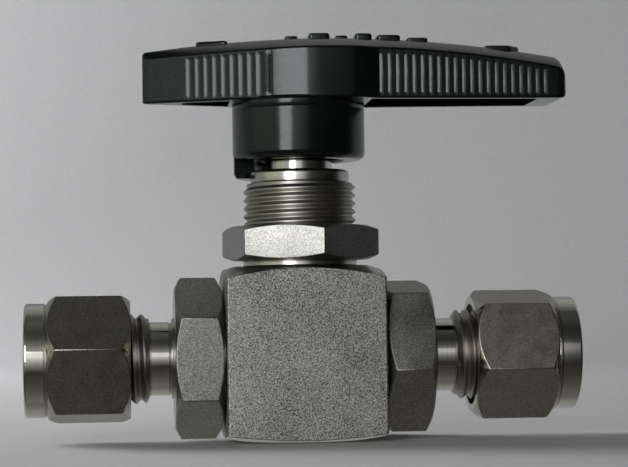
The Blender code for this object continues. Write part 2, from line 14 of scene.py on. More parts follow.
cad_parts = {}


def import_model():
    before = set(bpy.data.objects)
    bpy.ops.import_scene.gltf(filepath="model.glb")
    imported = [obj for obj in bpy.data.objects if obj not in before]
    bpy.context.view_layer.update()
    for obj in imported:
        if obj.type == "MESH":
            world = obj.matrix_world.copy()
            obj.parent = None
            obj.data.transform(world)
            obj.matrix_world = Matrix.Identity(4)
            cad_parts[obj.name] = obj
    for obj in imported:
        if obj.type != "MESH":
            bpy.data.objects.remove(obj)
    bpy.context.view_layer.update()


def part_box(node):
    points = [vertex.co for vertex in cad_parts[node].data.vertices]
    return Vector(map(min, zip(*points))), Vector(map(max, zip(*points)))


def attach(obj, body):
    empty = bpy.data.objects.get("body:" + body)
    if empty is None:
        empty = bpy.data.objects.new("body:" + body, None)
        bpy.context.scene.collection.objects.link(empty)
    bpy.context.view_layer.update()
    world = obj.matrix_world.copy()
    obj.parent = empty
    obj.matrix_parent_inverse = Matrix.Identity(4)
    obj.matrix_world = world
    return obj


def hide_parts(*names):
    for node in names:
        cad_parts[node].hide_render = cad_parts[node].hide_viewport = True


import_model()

MM = 0.001
STEPS = 96  # round a full turn
SNAP = 0.01  # how near the end of a thread its points join that end
PORT_TURNS = {"left": -90.0, "right": 90.0}


def span(node, axis):
    """Lowest and highest coordinate of a CAD node along one axis, in millimetres."""
    low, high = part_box(node)
    return low[axis] / MM, high[axis] / MM


X, Y, Z = range(3)

# Body
BODY_WIDTH = span("body", Y)[1] * 2.0
COLLAR_TOP = span("body", Z)[1]
BODY_HEIGHT = 21.0
FLOW_Z = 10.0
TOP_CONE = (8.5, 17.0)  # radius where it starts, slope in degrees
BOTTOM_CONE = (8.0, 9.4)
NECK_RADIUS = 6.95
NECK_TOP = 22.0
BONNET_CREST = 6.85
BONNET_ROOT = 6.42
BONNET_TOP = 31.1
BONNET_PITCH = 1.0
BONNET_LEAD = (6.3, 2.0, 1.2)  # radius at the thread's ends, growth per millimetre from below and above
COLLAR_RADIUS = 6.1
COLLAR_ROUND = 0.5
STOP_POCKET = (5.1, 31.3, 31.5, 190.0)  # radius, floor, first and last azimuth
CHAMBER = (5.3, 6.6)  # radius, half length
SPIGOT_BORE_RADIUS = 6.8
PACKING_BORE = (4.35, 21.0)  # radius, floor
STEM_BORE_RADIUS = 2.7
SHOULDER_BORE = (4.1, 17.35)  # radius, top

# Pieces inside
BALL_RADIUS = span("ball", Y)[1]
FLOW_RADIUS = 2.4
BALL_SLOT = (1.9, 3.1)  # width, height of its floor above the ball's centre
STEM_RADIUS = 2.4
STEM_TOP = 44.4
STEM_SHOULDER = (3.8, 15.35, 16.35)
STEM_TANG = (1.4, 4.4, 13.4)  # thickness, width, bottom
STEM_FLAT = (1.7, 36.9)  # distance from the axis, bottom
SEAT_FACE = 2.5
SEAT_BACK = 5.6
SEAT_RADIUS = 5.0
SEAT_SPRING = (5.9, 6.45, 2.9, 4.9)  # start, end, inner and outer radius
SEAL = (6.1, 8.8, 0.5)  # ring radius, place, cord radius
PACKING_BOLT_RADIUS = 4.05
PACKING_BOLT_HEX = (7.0, 34.6)  # across flats, bottom

# Hexagons
PANEL_NUT_HEX = 17.0
PANEL_NUT_TURN = 12.7
PANEL_NUT_CONE = (0.15, 20.0)  # inset of the end face, slope in degrees
PANEL_NUT_THREAD = (0.12, 0.6, 0.45)  # crest and root beyond the bonnet's crest, countersink
CONNECTOR_HEX = 17.0
CONNECTOR_CONE = (0.1, 28.0)
TUBE_NUT_HEX = 14.29
TUBE_NUT_CONE = (0.1, 42.0)
CORNER_ANGLES = {
    "left_end_connector": 30.0,
    "right_end_connector": -9.5,
    "left_tube_nut": 9.6,
    "right_tube_nut": -12.0,
}

# Fittings, by distance from the ball
SPIGOT_RADIUS = 6.5
SPIGOT_NOSE = 6.9
SEAL_GROOVE = (8.1, 5.3)  # start, radius of its floor
CONNECTOR_SPAN = (9.8, 15.5)
STUB_RADIUS = 4.45
STUB_END = 18.6
MALE_CREST = 5.45
MALE_ROOT = 4.95
FITTING_PITCH = 1.27
MALE_END = 28.3
MALE_LEAD = (MALE_ROOT, 1.2, 1.0)
SOCKET = (3.25, 18.3, 25.2, 12.0)  # radius, floor, start of its cone, slope
NUT_START = 20.8
NUT_HEX_END = 30.75
NUT_END = 33.5
NUT_COLLAR_RADIUS = 6.9
FEMALE_CREST = 5.65
FEMALE_ROOT = 6.15
FEMALE_END = 29.0
TUBE_EXIT_RADIUS = 3.3
FERRULE_CHAMBER = (4.75, 31.9)  # radius, end
FERRULE_SEAT_SLOPE = 22.0
FERRULE_BORE = 3.225
FRONT_FERRULE = [(FERRULE_BORE, 27.0), (3.4, 27.0), (3.62, 28.0), (4.15, 29.0, 0.1), (4.15, 30.2, 0.1)]
FRONT_FERRULE += [(3.75, 30.2), (FERRULE_BORE, 29.6)]
BACK_FERRULE = [(FERRULE_BORE, 30.1), (3.45, 30.35), (3.75, 30.65), (4.4, 30.65, 0.1), (4.4, 31.4, 0.1)]
BACK_FERRULE += [(3.9, 31.75), (FERRULE_BORE, 31.75)]

# Handle
HUB_RADIUS = span("handle", Y)[1]
POINTER_X, ARM_TIP_X = span("handle", X)
HUB_BOTTOM = 33.9
HUB_TOP = 41.4
HUB_ROUND = 0.9
PARTING_LINE = 40.0
HUB_CAVITY = (5.3, 36.9)  # radius, top
STOP_TAB = (5.5, 8.0, 31.8, 125.0, 186.5)  # inner and outer radius, bottom, first and last azimuth
RIM_Z = 41.0
SIDE_LINE = [  # x, growth of the half-width per millimetre of x
    (-4.0, 0.40), (-1.6, 0.31), (0.4, 0.22), (2.0, -0.04), (6.0, -0.08), (7.4, -0.45),
    (9.3, -0.45),
]
ARM_TAPER = 0.045
POINTER_OVERRUN = 0.8
EDGE_ROUND = 0.4
TIP_ROUND = 1.0
POINTER_ROUND = 0.6
POINTER_DROP = 0.35
CROWN_PEAK = (4.0, 48.9, 0.0031, 0.0031)  # x, height, fall per square millimetre to its left and right
WALL_PEAK = (6.0, 47.3, 0.0010, 0.0037)
SHELL_WALL = 1.1
SHELL_WEB = 1.2
SHELL_CEILING = 45.2
WEB_BOTTOM = 42.2
CAVITIES = ((8.5, 28.9), (-14.2, -8.5))
# Grip ribs: first x, pitch, count, depth, profile as (share of the pitch, share of the depth)
LONG_ARM_RIBS = (9.32, 1.01, 21, 0.13, [(0.0, 0.0), (0.04, 1.0), (0.24, 0.45), (0.46, 0.0), (0.50, 0.0)])
SHORT_ARM_RIBS = (-13.9, 1.03, 10, 0.09, [(0.0, 0.0), (0.28, 0.0), (0.70, 1.0)])

# Plain raised marks on the crown
ARROW_HEIGHT = 0.35
POINTER_ARROW = [(-13.2, 0.0), (-8.6, -1.7), (-8.6, 1.7)]
ARM_ARROW = [(23.0, -1.9), (26.0, -1.9), (27.6, 0.0), (26.0, 1.9), (23.0, 1.9)]
DASH_WIDTH = 3.0
DASHES = [  # first x, length, height
    (-1.6, 1.6, 0.3), (1.3, 2.6, 0.6), (4.6, 1.5, 0.3), (7.0, 2.1, 0.6), (9.7, 2.9, 0.5),
    (13.4, 2.6, 0.35),
]

# Handle insert and set screw
INSERT_TOP = 44.8
INSERT_RADIUS = 4.6
INSERT_FLAT = 2.0  # distance from the axis
SCREW_Z = 39.2
SCREW_RADIUS = 1.5
SCREW_THREAD = (0.28, 0.5)  # depth, pitch
SCREW_SPAN = (2.0, 6.9)
SCREW_SOCKET = (1.5, 1.3, 1.5)  # across flats, depth at the side and in the middle
SCREW_HOLE_RADIUS = SCREW_RADIUS + 0.3

# Backdrop
FLOOR_RADIUS = 430.0
COVE_RADIUS = 260.0
WALL_TOP = 900.0

# Lamps: place, target, width and height, radiance, colour
WINDOW = ((-269.6, -540.6, 163.5), (0.0, 0.0, 24.0), (220.0, 340.0), 4.4, (1.0, 0.99, 0.96))
FLOOR_LIGHT = ((-369.5, 258.7, 188.2), (-60.0, -120.0, 0.0), (240.0, 240.0), 18.0, (1.0, 1.0, 1.0))
WALL_LIGHT = ((-300.0, 420.0, 250.0), (-150.0, 690.0, 120.0), (240.0, 240.0), 7.6, (1.0, 1.0, 1.0))

# Camera, with angles in degrees
CAMERA_PLACE = (-22.49, -266.27, 15.03)
CAMERA_HEADING = 5.20  # from +Y towards +X
CAMERA_PITCH = 2.14
CAMERA_ROLL = -0.806
LENS = 125.3

# What the metal reflects. In front of the valve it is a band near the horizon, by azimuth from the front
# towards +X, times a share by elevation, over a faint glow. Behind it is the pale paper.
BAND = [
    (-180.0, 0.33, 0.34, 0.35), (-131.0, 0.38, 0.39, 0.40), (-113.0, 0.33, 0.34, 0.32),
    (-99.0, 0.27, 0.285, 0.23), (-86.0, 0.48, 0.50, 0.38), (-63.0, 0.60, 0.61, 0.50),
    (-44.0, 0.58, 0.58, 0.54), (-36.0, 0.85, 0.85, 0.81), (-15.0, 1.20, 1.20, 1.16),
    (-4.0, 0.85, 0.85, 0.82), (5.0, 0.50, 0.50, 0.48), (10.0, 0.38, 0.38, 0.35),
    (14.0, 0.13, 0.13, 0.12), (24.0, 0.04), (45.0, 0.02), (75.0, 0.005), (90.0, 0.02),
    (105.0, 0.09), (118.0, 0.20, 0.20, 0.19), (139.0, 0.26, 0.26, 0.25),
    (180.0, 0.30, 0.31, 0.32),
]
BAND_SHARE = [
    (-22.0, 0.02), (-12.0, 0.20), (-4.0, 0.42), (5.0, 0.85), (9.0, 1.20), (18.0, 1.25),
    (22.0, 0.42), (31.0, 0.20), (45.0, 0.06), (55.0, 0.02),
]
GLOW = [
    (-90.0, 0.16, 0.15, 0.14), (-68.0, 0.09, 0.08, 0.07), (-42.0, 0.045, 0.039, 0.031),
    (0.0, 0.0), (50.0, 0.022, 0.022, 0.018), (90.0, 0.070, 0.070, 0.060),
]
PAPER = [
    (-90.0, 0.16, 0.15, 0.14), (-50.0, 0.27, 0.27, 0.24), (0.0, 0.34, 0.35, 0.36), (20.0, 0.18),
    (45.0, 0.31, 0.31, 0.30), (58.0, 0.24, 0.24, 0.22), (72.0, 0.22, 0.22, 0.20),
    (80.0, 0.20, 0.20, 0.18), (90.0, 0.080, 0.080, 0.070),
]


def tangent(degrees):
    return tan(radians(degrees))


# ---- mesh tools


@dataclass
class Thread:
    """Helical stretch between two circles. Its form is (share of the pitch, radius) over one turn."""

    low: float
    high: float
    pitch: float
    form: list
    limit: object = lambda radius, height: radius


def thread_form(root, crest):
    return [(0.0, root), (0.12, root), (0.44, crest), (0.60, crest)]


def coned_ends(low, high, base, low_growth, high_growth):
    """Limit that lets a thread's radius grow from a base radius at both ends."""

    def limit(radius, height):
        return min(radius, base + (height - low) * low_growth, base + (high - height) * high_growth)

    return limit


def add_face(bm, corners, finish):
    corners = list(dict.fromkeys(corners))
    if len(corners) > 2:
        bm.faces.new(corners).material_index = finish


def bridge(bm, ring, following, finish):
    for index in range(len(ring)):
        after = (index + 1) % len(ring)
        add_face(bm, (ring[index], ring[after], following[after], following[index]), finish)


def add_thread(bm, one_ring, other_ring, angles, thread, finish):
    """Threaded skin between two rings. A column's first turn is the last column's next turn."""
    rising = one_ring[0].co.z < other_ring[0].co.z
    low_ring, high_ring = (one_ring, other_ring) if rising else (other_ring, one_ring)
    turns = ceil((thread.high - thread.low) / thread.pitch) + 1
    path = [(turn - 1 + share, radius) for turn in range(turns + 1) for share, radius in thread.form]
    per_turn = len(thread.form)
    columns = []
    for index, angle in enumerate(angles):
        lead = (angle - angles[0]) / (2.0 * pi)
        column = []
        for turn, radius in path:
            height = thread.low + thread.pitch * (turn + lead)
            if height <= thread.low + SNAP:
                column.append(low_ring[index])
            elif height >= thread.high - SNAP:
                column.append(high_ring[index])
            else:
                column.append(bm.verts.new((*polar(thread.limit(radius, height), angle), height)))
        columns.append(column)
    columns.append(columns[0][per_turn:] + [high_ring[0]] * per_turn)
    for column, following in zip(columns, columns[1:]):
        for row in range(len(path) - 1):
            add_face(bm, (column[row], column[row + 1], following[row + 1], following[row]), finish)


def arc_at(before, corner, after, steps=4):
    """Points of the arc that rounds a corner (x, y, radius) between two neighbours."""
    here = Vector(corner[:2])
    back = Vector(before[:2]) - here
    ahead = Vector(after[:2]) - here
    half = back.angle(ahead) / 2.0
    reach = min(corner[2] / tan(half), 0.45 * back.length, 0.45 * ahead.length)
    centre = here + (back.normalized() + ahead.normalized()).normalized() * (reach / cos(half))
    start = here + back.normalized() * reach - centre
    turn = start.angle_signed(here + ahead.normalized() * reach - centre)
    return [tuple(centre + Matrix.Rotation(-turn * step / steps, 2) @ start) for step in range(steps + 1)]


def rounded(points, radius):
    """Closed outline with every corner rounded."""
    made = []
    for index, point in enumerate(points):
        made += arc_at(points[index - 1], (*point, radius), points[(index + 1) % len(points)])
    return made


def filleted(rows):
    """Rows of a turned outline, each with its finish, with the corners rounded where they carry a radius."""
    made = []
    for index, (item, finish) in enumerate(rows):
        if isinstance(item, tuple) and len(item) == 3:
            after = rows[(index + 1) % len(rows)][0]
            made += [(point, finish) for point in arc_at(rows[index - 1][0], item, after)]
        else:
            made.append((item, finish))
    return made


def ring_at(bm, item, angles):
    if isinstance(item, tuple) and item[0] == 0.0:
        return [bm.verts.new((0.0, 0.0, item[1]))] * len(angles)
    ring = []
    for angle in angles:
        radius, height = item if isinstance(item, tuple) else item(angle)
        ring.append(bm.verts.new((*polar(radius, angle), height)))
    return ring


def rectangle(low_x, high_x, low_y, high_y):
    return [(low_x, low_y), (high_x, low_y), (high_x, high_y), (low_x, high_y)]


def spread(first, last, steps):
    return [first + (last - first) * step / steps for step in range(steps + 1)]


def polar(radius, angle):
    return radius * cos(angle), radius * sin(angle)


def quarter(radius, steps=5):
    """Distances (across, down) from a corner's sides to the quarter circle that rounds it."""
    angles = [radians(angle) for angle in spread(0.0, 90.0, steps)]
    return [(radius * (1.0 - cos(a)), radius * (1.0 - sin(a))) for a in angles]


def full_turn(steps=STEPS):
    return [2.0 * pi * step / steps for step in range(steps)]


def add_object(name, data):
    made = bpy.data.objects.new(name, data)
    bpy.context.scene.collection.objects.link(made)
    return made


def piece(name, bm, materials=(), matrix=None):
    """Finished object from a bmesh in millimetres."""
    bmesh.ops.recalc_face_normals(bm, faces=bm.faces)
    bmesh.ops.transform(bm, matrix=(matrix or Matrix.Identity(4)), verts=bm.verts)
    bmesh.ops.scale(bm, vec=(MM, MM, MM), verts=bm.verts)
    mesh = bpy.data.meshes.new(name)
    bm.to_mesh(mesh)
    bm.free()
    for material in materials:
        mesh.materials.append(material)
    return add_object(name, mesh)


def turned(name, groups, materials=(), angles=None, matrix=None):
    """Solid turned from a closed outline, given as (finish, rows) groups.

    A row is (radius, height), (radius, height, fillet), a function of the angle, or a Thread.
    """
    angles = angles or full_turn()
    rows = filleted([(item, finish) for finish, items in groups for item in items])
    bm = bmesh.new()
    rings = [None if isinstance(item, Thread) else ring_at(bm, item, angles) for item, _ in rows]
    for index, (item, finish) in enumerate(rows):
        after = (index + 1) % len(rows)
        if isinstance(item, Thread):
            add_thread(bm, rings[index - 1], rings[after], angles, item, finish)
        elif rings[after]:
            bridge(bm, rings[index], rings[after], rows[after][1])
    return piece(name, bm, materials, matrix)


def loft(name, sections, materials=(), matrix=None):
    """Solid through closed sections, capped at both ends."""
    bm = bmesh.new()
    rows = [[bm.verts.new(point) for point in section] for section in sections]
    bm.faces.new(rows[0])
    bm.faces.new(rows[-1])
    for row, following in zip(rows, rows[1:]):
        bridge(bm, row, following, 0)
    return piece(name, bm, materials, matrix)


def prism(name, outline, low, high, matrix=None, edge=0.0):
    """Upright prism over a closed outline, its top edge chamfered by edge."""
    levels = [(low, 0.0), (high - edge, 0.0), (high, edge)] if edge else [(low, 0.0), (high, 0.0)]
    middle = sum((Vector(point) for point in outline), Vector((0.0, 0.0))) / len(outline)
    rays = [Vector(point) - middle for point in outline]
    sections = []
    for height, inset in levels:
        sections.append([(*(middle + ray * (1.0 - inset / ray.length)), height) for ray in rays])
    return loft(name, sections, matrix=matrix)


def cut(target, tool, operation="DIFFERENCE"):
    """Cuts a tool out of the target, and removes the tool."""
    modifier = target.modifiers.new("cut", "BOOLEAN")
    modifier.operation = operation
    modifier.object = tool
    modifier.solver = "EXACT"
    bpy.context.view_layer.update()
    mesh = bpy.data.meshes.new_from_object(target.evaluated_get(bpy.context.evaluated_depsgraph_get()))
    target.modifiers.clear()
    target.data = mesh
    bpy.data.objects.remove(tool)


def join(target, tool):
    cut(target, tool, "UNION")


def merge(name, parts):
    """One object from several that don't touch."""
    bm = bmesh.new()
    for part in parts:
        bm.from_mesh(part.data)
        bpy.data.objects.remove(part)
    mesh = bpy.data.meshes.new(name)
    bm.to_mesh(mesh)
    bm.free()
    return add_object(name, mesh)


def place(made, body, slot, *nodes, sharp=38.0):
    """Shades a piece, rides it on its body and lets it stand for its CAD nodes."""
    made.data.shade_smooth()
    made.data.set_sharp_from_angle(angle=radians(sharp))
    weighted = made.modifiers.new("weighted_normals", "WEIGHTED_NORMAL")
    weighted.keep_sharp = True
    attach(made, body)
    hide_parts(*nodes)


def place_turned(node, rows, material, slot, body="valve_body", matrix=None, angles=None):
    """Piece turned in one material that stands for its CAD node."""
    place(turned(f"{node}_finish", [(0, rows)], (material,), angles, matrix), body, slot, node)


# ---- round and flat


class Polygon:
    """Rounded-corner polygon as a radius for each angle, and the angles that trace it well."""

    def __init__(self, sides, across, corner_angle, corner_round, flat_steps=14, corner_steps=5):
        self.half_angle = pi / sides
        self.apothem = across / 2.0
        self.corner = radians(corner_angle)
        self.round = corner_round
        self.centre = (self.apothem - corner_round) / cos(self.half_angle)
        flat = (self.apothem - corner_round) * tan(self.half_angle)
        self.arc = self.half_angle - atan2(flat, self.apothem)
        self.angles = []
        for side in range(sides):
            corner = self.corner + 2.0 * self.half_angle * side
            steps = range(corner_steps + 1)
            self.angles += [corner + self.arc * (2.0 * step / corner_steps - 1.0) for step in steps]
            free = 2.0 * (self.half_angle - self.arc)
            self.angles += [corner + self.arc + free * step / flat_steps for step in range(1, flat_steps)]

    def radius(self, angle):
        turn = (angle - self.corner) % (2.0 * self.half_angle)
        from_corner = min(turn, 2.0 * self.half_angle - turn)
        if from_corner < self.arc:
            across = self.centre * sin(from_corner)
            return self.centre * cos(from_corner) + sqrt(self.round**2 - across**2)
        return self.apothem / cos(self.half_angle - from_corner)

    def end(self, height, face, slope, direction, edge=0.09):
        """Rows of one coned end: where the cone starts, and just before and after the edge it makes."""
        rise = direction * tangent(slope)
        lean = radians(slope)

        def before(angle):
            radius = self.radius(angle) - edge * cos(lean)
            return radius, height + (radius - face) * rise

        def after(angle):
            radius = self.radius(angle)
            return radius, height + (radius - face) * rise + direction * edge

        return [(face, height), before, after]

    def block(self, low, high, inset, slope):
        """Rows up the outside of a block with both ends coned back to just inside the flats."""
        face = self.apothem - inset
        return [*self.end(low, face, slope, 1.0), *reversed(self.end(high, face, slope, -1.0))]


def port_matrix(turn):
    """Lays a piece's own Z axis along the flow axis, turned about +Y."""
    return Matrix.Translation((0.0, 0.0, FLOW_Z)) @ Matrix.Rotation(radians(turn), 4, "Y")


def corner_on_port(name, side):
    angle = CORNER_ANGLES[name]
    return angle - 90.0 if side == "left" else 270.0 - angle


# ---- materials


class Finish:
    """Principled material with short ways to add procedural detail in object coordinates."""

    def __init__(self, name, colour, roughness, metallic=0.0, **sockets):
        self.material = bpy.data.materials.new(name)
        self.material.use_nodes = True
        self.tree = self.material.node_tree
        self.shader = self.tree.nodes["Principled BSDF"]
        self.set(self.shader, {"Base Color": (*colour, 1.0), "Roughness": roughness, "Metallic": metallic})
        self.set(self.shader, {key.replace("_", " "): value for key, value in sockets.items()})
        self.place = self.node("ShaderNodeTexCoord").outputs["Object"]

    def set(self, node, values):
        for key, value in values.items():
            node.inputs[key].default_value = value

    def node(self, kind, values=None, **settings):
        made = self.tree.nodes.new(kind)
        for key, value in settings.items():
            setattr(made, key, value)
        self.set(made, values or {})
        return made

    def link(self, source, target):
        self.tree.links.new(source, target)

    def noise(self, size, detail=2.0, stretch=(1.0, 1.0, 1.0), roughness=0.5):
        """Noise with features about size millimetres across, stretched along the axes."""
        mapping = self.node("ShaderNodeMapping", {"Scale": [1.0 / (size * MM * share) for share in stretch]})
        self.link(self.place, mapping.inputs["Vector"])
        made = self.node("ShaderNodeTexNoise", {"Scale": 1.0, "Detail": detail, "Roughness": roughness})
        self.link(mapping.outputs["Vector"], made.inputs["Vector"])
        return made.outputs["Fac"]

    def rings(self, axis):
        """Fine rings round an axis, as a lathe tool leaves them."""
        return self.noise(0.12, 2.0, [1.0 if index == axis else 400.0 for index in range(3)])

    def specks(self, size):
        """Random value for each grain about size millimetres across."""
        made = self.node("ShaderNodeTexVoronoi", {"Scale": 1.0 / (size * MM), "Randomness": 1.0})
        self.link(self.place, made.inputs["Vector"])
        split = self.node("ShaderNodeSeparateColor")
        self.link(made.outputs["Color"], split.inputs["Color"])
        return split.outputs["Red"]

    def span(self, source, low, high, new_low=0.0, new_high=1.0):
        values = {"From Min": low, "From Max": high, "To Min": new_low, "To Max": new_high}
        made = self.node("ShaderNodeMapRange", values)
        self.link(source, made.inputs["Value"])
        return made.outputs["Result"]

    def math(self, operation, one, other):
        made = self.node("ShaderNodeMath", operation=operation)
        self.link(one, made.inputs[0])
        if isinstance(other, float):
            made.inputs[1].default_value = other
        else:
            self.link(other, made.inputs[1])
        return made.outputs[0]

    def mix(self, *shares):
        """Weighted sum of values, given as (value, weight) pairs."""
        total = None
        for value, weight in shares:
            term = self.math("MULTIPLY", value, weight)
            total = self.math("ADD", total, term) if total else term
        return total

    def colour(self, factor, dark, light, low=0.3, high=0.7):
        """Colour between dark, where the factor is low, and light, where it is high."""
        made = self.node("ShaderNodeMix", data_type="RGBA")
        self.link(self.span(factor, low, high), made.inputs["Factor"])
        made.inputs[6].default_value = (*dark, 1.0)
        made.inputs[7].default_value = (*light, 1.0)
        self.link(made.outputs[2], self.shader.inputs["Base Color"])

    def roughness(self, factor, low, high):
        self.link(self.span(factor, 0.3, 0.7, low, high), self.shader.inputs["Roughness"])

    def bump(self, height, depth, strength=1.0):
        """Bump of that depth in millimetres, on top of any bump added before."""
        made = self.node("ShaderNodeBump", {"Strength": strength, "Distance": depth * MM})
        self.link(height, made.inputs["Height"])
        normal = self.shader.inputs["Normal"]
        if normal.is_linked:
            self.link(normal.links[0].from_socket, made.inputs["Normal"])
        self.link(made.outputs["Normal"], normal)


# Values between which a metal's grain goes from its dark to its light colour
GRAIN_RANGE = (0.34, 0.68)


def shades(colour, contrast):
    """The colour times each of two shares."""
    return [[min(1.0, share * value) for value in colour] for share in contrast]


def blasted_steel(name, colour, grain, depth, rough, contrast, glint_and_pit_share=0.1):
    """Bead-blasted stainless: grain whose sparkle is painted glints in its colour, slight blotches and a few
    pits.
    """
    finish = Finish(name, colour, 0.45, 1.0)
    grains = finish.noise(grain, 3.0, roughness=0.6)
    blotches = finish.noise(6.0, 3.0)
    # The specks paint glints (painted highlights) and dark pits into the grain's colour; with a wide contrast
    # they read as sparkle.
    mixed = finish.mix((grains, 0.85), (blotches, 0.15), (finish.specks(grain), glint_and_pit_share))
    finish.colour(mixed, *shades(colour, contrast), *(value + 0.5 * glint_and_pit_share for value in GRAIN_RANGE))
    finish.roughness(blotches, *rough)
    finish.bump(finish.noise(grain * 2.0, 4.0, roughness=0.65), depth, 0.9)
    return finish.material


def turned_steel(name, colour, axis, rough=(0.14, 0.26), depth=0.004):
    """Lathe-turned stainless: fine rings round the axis and faint smears along them."""
    finish = Finish(name, colour, 0.2, 1.0)
    rings = finish.rings(axis)
    smears = finish.noise(2.5, 3.0)
    finish.colour(rings, *shades(colour, (0.84, 1.0)))
    finish.roughness(finish.mix((rings, 0.5), (smears, 0.5)), *rough)
    finish.bump(rings, depth, 0.8)
    return finish.material


def milled_steel(name, colour, rough, grain, depth=0.008):
    """Drawn hexagon bar: satin flats with a very fine grain and soft stains."""
    finish = Finish(name, colour, 0.33, 1.0)
    grains = finish.noise(grain, 3.0, roughness=0.6)
    stains = finish.noise(2.0, 4.0)
    mixed = finish.mix((grains, 0.92), (stains, 0.08))
    finish.colour(mixed, *shades(colour, (0.60, 1.45)), *GRAIN_RANGE)
    finish.roughness(stains, *rough)
    finish.bump(grains, depth, 0.7)
    return finish.material


def black_nylon():
    """Glossy moulded nylon with a faint pebble and rubbed, paler high spots."""
    tint = (0.88, 0.98, 1.0, 1.0)
    finish = Finish("moulded_nylon", (0.003, 0.004, 0.004), 0.2, IOR=1.5, Specular_Tint=tint)
    pebble = finish.noise(0.35, 3.0, roughness=0.6)
    waves = finish.noise(4.0, 2.0)
    finish.colour(waves, (0.0020, 0.0030, 0.0032), (0.0040, 0.0055, 0.0055), 0.35, 0.65)
    finish.roughness(pebble, 0.10, 0.20)
    finish.bump(pebble, 0.006, 0.6)
    finish.bump(waves, 0.02, 0.4)
    return finish.material


def waxy_ptfe():
    finish = Finish("waxy_ptfe", (0.80, 0.79, 0.75), 0.45, Subsurface_Weight=0.15)
    finish.shader.inputs["Subsurface Radius"].default_value = (0.001, 0.0008, 0.0006)
    cloud = finish.noise(1.2, 3.0)
    finish.colour(cloud, (0.74, 0.73, 0.68), (0.84, 0.83, 0.80))
    finish.roughness(cloud, 0.38, 0.52)
    finish.bump(finish.noise(0.15, 2.0), 0.004, 0.5)
    return finish.material


def dusty_elastomer():
    finish = Finish("seal_elastomer", (0.02, 0.02, 0.02), 0.5)
    dust = finish.noise(0.3, 3.0)
    finish.colour(dust, (0.014, 0.014, 0.014), (0.035, 0.035, 0.034), 0.4, 0.75)
    finish.roughness(dust, 0.42, 0.62)
    finish.bump(dust, 0.006, 0.6)
    return finish.material


def tarnished_brass():
    finish = Finish("turned_brass", (0.62, 0.46, 0.20), 0.3, 1.0)
    tarnish = finish.noise(1.5, 3.0)
    finish.colour(tarnish, (0.46, 0.32, 0.13), (0.68, 0.51, 0.24), 0.35, 0.65)
    finish.roughness(tarnish, 0.22, 0.38)
    finish.bump(finish.rings(Z), 0.004, 0.7)
    return finish.material


SATIN = (0.56, 0.545, 0.51)
BODY_GREY = (0.38, 0.38, 0.365)
# The body's wide contrast and specks paint glints, a painted highlight, into its blasted grain.
BLASTED = blasted_steel("blasted_steel_body", BODY_GREY, 0.17, 0.03, (0.40, 0.55), (0.10, 2.0), 0.12)
NUT_FLATS = blasted_steel("blasted_steel_nut", (0.37, 0.37, 0.36), 0.16, 0.008, (0.32, 0.42), (0.60, 1.40))
BAR_GREY = (0.335, 0.335, 0.32)
CONNECTOR_FLATS = blasted_steel("satin_connector_bar", BAR_GREY, 0.13, 0.010, (0.34, 0.46), (0.40, 1.70))
BAR = milled_steel("satin_hexagon_bar", (0.41, 0.395, 0.37), rough=(0.30, 0.38), grain=0.16)
TURNED_Z = turned_steel("turned_steel_upright", SATIN, Z)
TURNED_X = turned_steel("turned_steel_flow_axis", SATIN, X)
THREADED_Z = turned_steel("threaded_steel_upright", (0.44, 0.43, 0.40), Z, (0.30, 0.42))
THREADED_X = turned_steel("threaded_steel_flow_axis", (0.42, 0.40, 0.37), X, (0.26, 0.38))
MIRROR_X = turned_steel("polished_steel_flow_axis", (0.80, 0.79, 0.755), X, (0.03, 0.08), 0.001)
MIRROR_Z = turned_steel("polished_steel_upright", (0.70, 0.69, 0.66), Z, (0.06, 0.14), 0.002)
SPRING = turned_steel("spring_steel_rings", (0.52, 0.50, 0.47), Z, (0.20, 0.34))
NYLON = black_nylon()
PTFE = waxy_ptfe()
ELASTOMER = dusty_elastomer()
BRASS = tarnished_brass()


# ---- body and core


